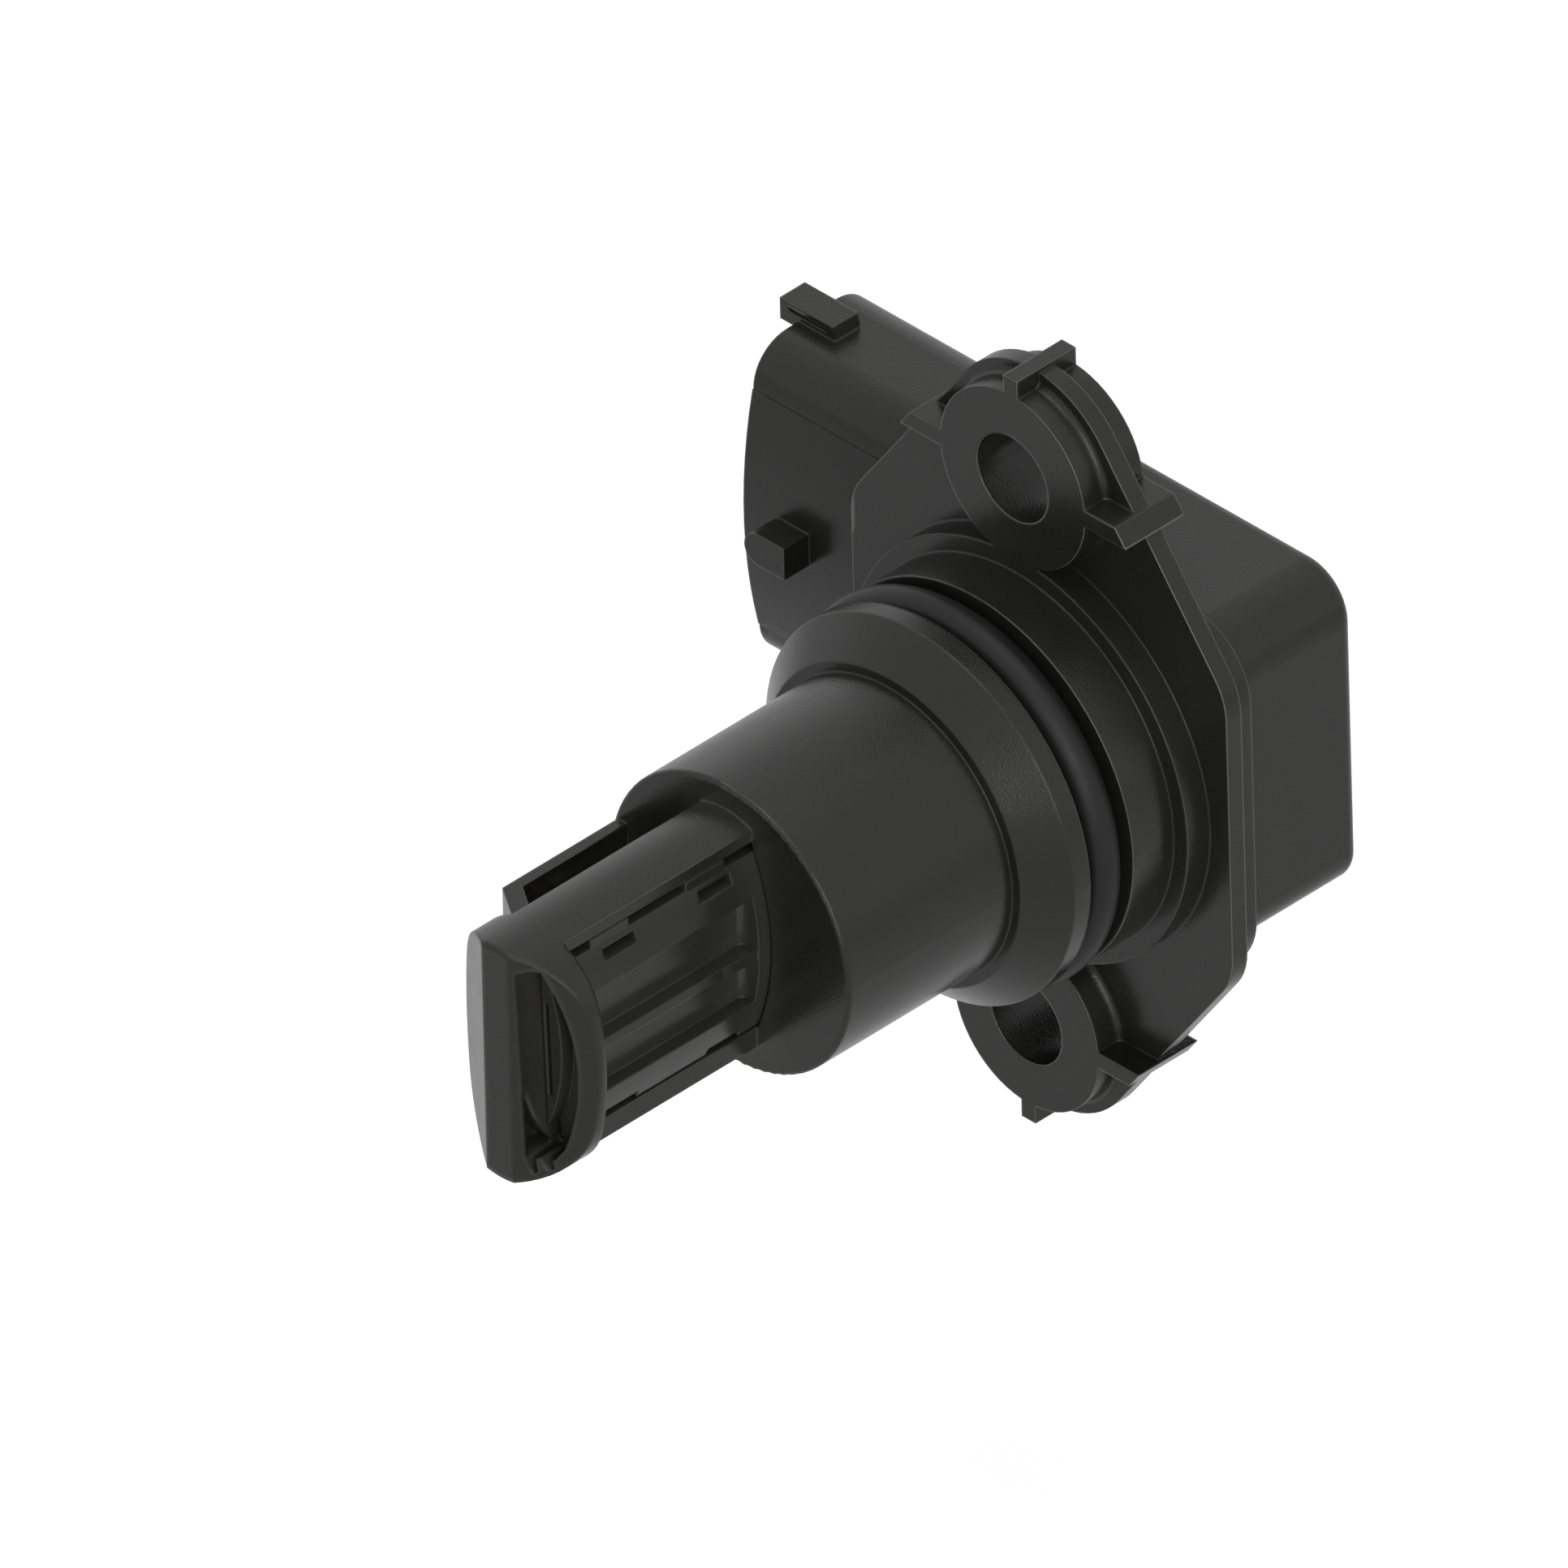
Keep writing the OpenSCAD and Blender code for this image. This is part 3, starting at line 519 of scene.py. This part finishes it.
class SensorFinish(Enum):
    """The finishes on the sensor."""

    MOULDING = Finish(
        "moulded_housing_plastic",
        (0.0177, 0.0175, 0.0165),
        roughness=0.20,
        rough_spread=0.05,
        mottle=0.10,
        speckle=0.14,
        grains=(Grain(1.4 * MM, 0.006 * MM, 3.0), Grain(0.14 * MM, 0.030 * MM, side_share=0.4)),
        edge_radius=0.25 * MM,
        seam=SoftSeam(),
        tip=SoftTip(),
        # Painted highlights on the outer edges; painted light in the recesses only tipward of y =
        # -23 mm.
        painted_light=PaintedEdgeAndRecessLight(edge_highlight_gain=12.0, recess_light_gain=3.6, recess_light_stop=-23 * MM),
        ior=1.375,
    )
    CARRIER = Finish(
        "moulded_carrier_plastic",
        (0.0190, 0.0188, 0.0178),
        roughness=0.22,
        rough_spread=0.05,
        mottle=0.10,
        speckle=0.10,
        grains=(Grain(1.1 * MM, 0.005 * MM, 3.0), Grain(0.14 * MM, 0.005 * MM)),
        edge_radius=0.2 * MM,
        # Painted highlights on the outer edges and painted light in the recesses.
        painted_light=PaintedEdgeAndRecessLight(edge_highlight_gain=3.0, recess_light_gain=3.4),
        ior=1.375,
    )
    SEAL = Finish(
        "seal_rubber",
        (0.0125, 0.0125, 0.0125),
        roughness=0.45,
        rough_spread=0.06,
        mottle=0.12,
        mottle_size=2 * MM,
        speckle=0.08,
        speckle_size=0.1 * MM,
        grains=(Grain(0.5 * MM, 0.004 * MM, 3.0),),
        edge_radius=0.1 * MM,
        ior=1.33,
    )
    FILTER = Finish(
        "sintered_filter",
        (0.72, 0.72, 0.68),
        roughness=0.85,
        mottle=0.08,
        mottle_size=1 * MM,
        speckle=0.2,
        speckle_size=0.12 * MM,
        grains=(Grain(0.12 * MM, 0.03 * MM),),
    )
    LAMINATE = Finish(
        "lacquered_laminate",
        (0.012, 0.085, 0.032),
        roughness=0.3,
        mottle=0.12,
        speckle=0.12,
        grains=(Grain(0.3 * MM, 0.004 * MM),),
        edge_radius=0.05 * MM,
    )
    CHIP = Finish(
        "moulded_chip_case",
        (0.016, 0.016, 0.018),
        roughness=0.6,
        speckle=0.15,
        grains=(Grain(0.1 * MM, 0.006 * MM),),
        edge_radius=0.08 * MM,
    )
    BEAD = Finish(
        "dipped_bead_resin",
        (0.055, 0.035, 0.02),
        roughness=0.25,
        mottle=0.2,
        mottle_size=0.8 * MM,
        grains=(Grain(0.6 * MM, 0.01 * MM),),
    )
    TINNED = Finish(
        "tin_plating",
        (0.70, 0.69, 0.66),
        roughness=0.28,
        rough_spread=0.08,
        mottle=0.05,
        mottle_size=1.5 * MM,
        grains=(Grain(0.2 * MM, 0.002 * MM),),
        edge_radius=0.08 * MM,
        metallic=1.0,
    )
    CERAMIC = Finish(
        "fired_capacitor_ceramic",
        (0.28, 0.18, 0.10),
        roughness=0.45,
        speckle=0.1,
        grains=(Grain(0.08 * MM, 0.004 * MM),),
        edge_radius=0.05 * MM,
    )
    MEMBRANE = Finish(
        "vent_membrane_film",
        (0.78, 0.78, 0.76),
        roughness=0.6,
        mottle=0.04,
        speckle=0.06,
        grains=(Grain(0.08 * MM, 0.006 * MM),),
    )


class Wardrobe:
    """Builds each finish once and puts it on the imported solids."""

    def __init__(self, nodes: dict[str, bpy.types.Object]) -> None:
        """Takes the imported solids.

        Args:
            nodes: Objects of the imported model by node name.
        """
        self.nodes = nodes
        self.built: dict[SensorFinish, bpy.types.Material] = {}

    def dress(self, names: tuple[str, ...], finish: SensorFinish) -> None:
        """Puts a finish on some nodes.

        Args:
            names: The nodes' names.
            finish: The finish.
        """
        if finish not in self.built:
            self.built[finish] = finish.value.material()
        for name in names:
            piece = self.nodes[name]
            piece.data.materials.clear()
            piece.data.materials.append(self.built[finish])
            LOG.info("%s: %s", name, finish.value.name)


@dataclass
class Moulding:
    """Housing with flange, spigot, cage, guard, box and shroud, and its rear cover.

    Attributes:
        nodes: The pieces moulded in the housing's plastic.
    """

    nodes: tuple[str, ...] = ("housing", "rear_cover")

    def dress(self, wardrobe: Wardrobe) -> None:
        """Finishes the housing and its cover."""
        wardrobe.dress(self.nodes, SensorFinish.MOULDING)


@dataclass
class Probe:
    """What the cage and the guard hold: the insert with its sensing parts, and the bead.

    Attributes:
        leads: The bead's two leads.
    """

    leads: tuple[str, ...] = ("bead_lead_a", "bead_lead_b")

    def dress(self, wardrobe: Wardrobe) -> None:
        """Finishes the insert with what it carries, and the bead.

        Args:
            wardrobe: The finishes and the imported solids.
        """
        wardrobe.dress(("probe_insert",), SensorFinish.CARRIER)
        wardrobe.dress(("probe_board",), SensorFinish.LAMINATE)
        wardrobe.dress(("air_element",), SensorFinish.CHIP)
        wardrobe.dress(("pressure_filter",), SensorFinish.FILTER)
        wardrobe.dress(("temperature_bead",), SensorFinish.BEAD)
        wardrobe.dress(self.leads, SensorFinish.TINNED)


@dataclass
class Seals:
    """The ring on the spigot and the gaskets inside.

    Attributes:
        nodes: The rubber pieces.
    """

    nodes: tuple[str, ...] = ("o_ring", "insert_seal", "port_seal", "cover_seal")

    def dress(self, wardrobe: Wardrobe) -> None:
        """Finishes all rubber."""
        wardrobe.dress(self.nodes, SensorFinish.SEAL)


@dataclass
class Electronics:
    """Main board with its cell, chip and capacitors, the vent and the terminals.

    Attributes:
        cases: The moulded cases on the board.
        terminals: The blades in the connector's socket.
    """

    cases: tuple[str, ...] = ("pressure_cell", "signal_chip")
    terminals: tuple[str, ...] = ("terminal_1", "terminal_2", "terminal_3", "terminal_4")

    def dress(self, wardrobe: Wardrobe) -> None:
        """Finishes the board, its parts, the vent and the terminals.

        Args:
            wardrobe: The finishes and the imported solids.
        """
        wardrobe.dress(("circuit_board",), SensorFinish.LAMINATE)
        wardrobe.dress(self.cases, SensorFinish.CHIP)
        wardrobe.dress(("capacitors",), SensorFinish.CERAMIC)
        wardrobe.dress(("vent_membrane",), SensorFinish.MEMBRANE)
        wardrobe.dress(("terminal_carrier",), SensorFinish.CARRIER)
        wardrobe.dress(self.terminals, SensorFinish.TINNED)


@dataclass
class StudioCamera:
    """Parallel camera at the photograph's angle.

    Attributes:
        right: The picture's right in the model's frame.
        up: The picture's up.
        back: From the object to the camera.
        shift_right: Middle of the picture along right.
        shift_up: Middle of the picture along up.
        width: Width of the picture in the object's plane.
        distance: From that plane to the camera.
        nearest: Nearest distance that the camera sees.
        farthest: Farthest distance that it sees.
    """

    right: Direction = (0.7074, 0.7065, -0.0206)
    up: Direction = (-0.4002, 0.4245, 0.8121)
    back: Direction = (0.5825, -0.5662, 0.5830)
    shift_right: float = -15.535 * MM
    shift_up: float = -2.286 * MM
    width: float = 103.43 * MM
    distance: float = 0.45
    nearest: float = 0.01
    farthest: float = 5.0

    def build(self) -> None:
        """Adds the camera to the scene."""
        data = bpy.data.cameras.new("studio_camera")
        data.type = "ORTHO"
        data.ortho_scale = self.width
        data.clip_start = self.nearest
        data.clip_end = self.farthest
        camera = bpy.data.objects.new("studio_camera", data)
        bpy.context.scene.collection.objects.link(camera)
        turn = Matrix((self.right, self.up, self.back)).transposed().to_4x4()
        middle = Vector(self.right) * self.shift_right + Vector(self.up) * self.shift_up
        place = middle + Vector(self.back) * self.distance
        camera.matrix_world = Matrix.Translation(place) @ turn
        bpy.context.scene.camera = camera


@dataclass(frozen=True)
class Softbox:
    """A large round lamp that faces the object.

    Attributes:
        name: The lamp's name.
        direction: From the object towards the lamp.
        distance: From the origin to the lamp.
        width: Its width.
        power: Its power in watts.
    """

    name: str
    direction: Direction
    distance: float
    width: float
    power: float

    def build(self) -> None:
        """Adds the lamp to the scene."""
        data = bpy.data.lights.new(self.name, "AREA")
        data.shape = "DISK"
        data.size = self.width
        data.energy = self.power
        lamp = bpy.data.objects.new(self.name, data)
        towards = Vector(self.direction)
        lamp.location = towards.normalized() * self.distance
        lamp.rotation_euler = towards.to_track_quat("Z", "Y").to_euler()
        bpy.context.scene.collection.objects.link(lamp)


@dataclass
class Studio:
    """White surround, pale floor and two soft lamps.

    Attributes:
        floor_drop: From the object's lowest point down to the floor.
        floor_half: Half the floor's width.
        floor_colour: The floor's own colour, which takes the shadow.
        floor_shown: What is added to the floor where the eye sees it.
        floor_mirrored: What is added to it where a reflection shows it.
        world_strength: Light of the surround on the object.
        lamps: The soft lamps.
    """

    floor_drop: float = 30 * MM
    floor_half: float = 2.5
    floor_colour: Colour = (0.85, 0.85, 0.85)
    floor_shown: float = 0.56
    floor_mirrored: float = 0.18
    world_strength: float = 0.4
    lamps: tuple[Softbox, ...] = (
        Softbox("overhead_softbox", (0.0, 0.0, 1.0), distance=0.6, width=0.5, power=0.7),
        Softbox("front_softbox", (0.80, -0.48, 0.42), distance=1.1, width=0.9, power=4.6),
    )

    def build(self, lowest: float) -> None:
        """Adds the surround, the floor and the lamps.

        Args:
            lowest: Height of the object's lowest point.
        """
        bpy.context.scene.view_settings.view_transform = "Standard"
        self._world()
        self._floor(lowest)
        for lamp in self.lamps:
            lamp.build()

    @staticmethod
    def _sees_white(sheet: NodeSheet) -> Socket:
        """Tells the rays that see plain white from the rest.

        Args:
            sheet: The node tree.

        Returns:
            1 for those rays, 0 for the rest.
        """
        path = sheet.add("ShaderNodeLightPath")
        total: object = 0.0
        for kind in RayKind:
            total = sheet.maths("MAXIMUM", path.outputs[kind.value], total)
        return total

    def _world(self) -> None:
        """Makes the surround, white to the eye and in reflections, and otherwise a soft light."""
        world = bpy.data.worlds.new("white_surround")
        world.use_nodes = True
        bpy.context.scene.world = world
        sheet = NodeSheet(world.node_tree)
        strength = sheet.add(
            "ShaderNodeMix",
            {"Factor": self._sees_white(sheet), "A": self.world_strength, "B": 1.0},
        )
        back = sheet.add(
            "ShaderNodeBackground",
            {"Color": WHITE, "Strength": strength.outputs["Result"]},
        )
        sheet.add("ShaderNodeOutputWorld", {"Surface": back.outputs["Background"]})

    def _floor(self, lowest: float) -> None:
        """Adds a pale floor that shows as white and keeps the object's shadow.

        Args:
            lowest: Height of the object's lowest point.
        """
        bpy.ops.object.select_all(action="DESELECT")
        bpy.ops.mesh.primitive_plane_add(
            size=2 * self.floor_half, location=(0, 0, lowest - self.floor_drop)
        )
        floor = bpy.context.object
        floor.name = "floor"
        material = bpy.data.materials.new("pale_floor")
        material.use_nodes = True
        sheet = NodeSheet(material.node_tree)
        own = sheet.add("ShaderNodeBsdfDiffuse", {"Color": (*self.floor_colour, 1.0)})
        path = sheet.add("ShaderNodeLightPath")
        mirrored = sheet.maths("MULTIPLY", self._sees_white(sheet), self.floor_mirrored)
        shown = sheet.maths("MULTIPLY", path.outputs[RayKind.CAMERA.value], self.floor_shown)
        strength = sheet.maths("MAXIMUM", mirrored, shown)
        extra = sheet.add("ShaderNodeEmission", {"Color": WHITE, "Strength": strength})
        inputs = {0: own.outputs["BSDF"], 1: extra.outputs["Emission"]}
        both = sheet.add("ShaderNodeAddShader", inputs)
        sheet.add("ShaderNodeOutputMaterial", {"Surface": both.outputs["Shader"]})
        floor.data.materials.append(material)
        floor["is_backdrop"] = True
        LOG.info("floor %.0f mm below the object", self.floor_drop / MM)


def main() -> None:
    """Dresses every sub-assembly and builds the studio round them."""
    logging.basicConfig(level=logging.INFO, format="%(name)s: %(message)s")
    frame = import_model()
    cad_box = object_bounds()
    wardrobe = Wardrobe(frame["nodes"])
    for assembly in (Moulding(), Probe(), Seals(), Electronics()):
        assembly.dress(wardrobe)
    StudioCamera().build()
    Studio().build(cad_box[0].z)


if __name__ == "__main__":
    main()
